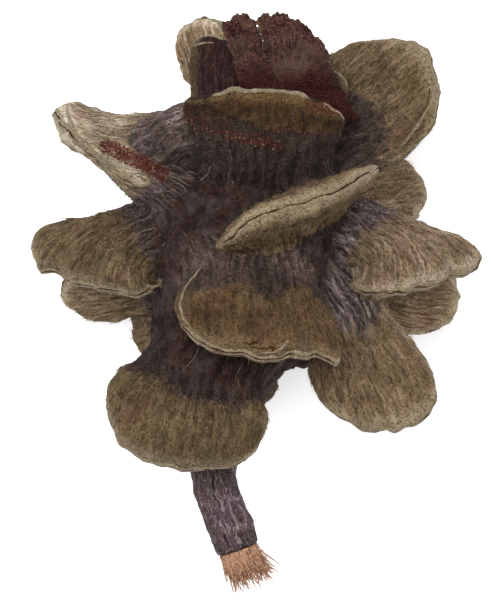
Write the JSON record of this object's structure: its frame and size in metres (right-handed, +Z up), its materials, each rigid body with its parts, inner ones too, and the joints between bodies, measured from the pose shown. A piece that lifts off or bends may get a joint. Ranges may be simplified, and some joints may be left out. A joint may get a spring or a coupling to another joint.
{
  "type": "rose-fruited banksia cone",
  "caption": "Woody seed cone with wide flat-lipped follicles on stout necks, one of them open with its seed separator, on a short torn stalk.",
  "frame": {"origin": "centre of the cone's box at the surface it lies on", "axes": "+Y from the torn stalk to the tip of the cone, +Z up from the surface, +X to the right when seen from above with the stalk towards the viewer"},
  "size_m": [0.0735, 0.0945, 0.0678],
  "materials": {
    "felted_wood": "matt, felted, greyish olive brown with a darker purplish grey body",
    "separator": "thin dark red-brown woody plate, dull with a slight sheen",
    "bare_wood": "torn, fibrous, orange brown"
  },
  "bodies": {
    "root": {"cone": "felted_wood", "seed_separator": "separator", "torn_wood": "bare_wood"}
  },
  "joints": []
}
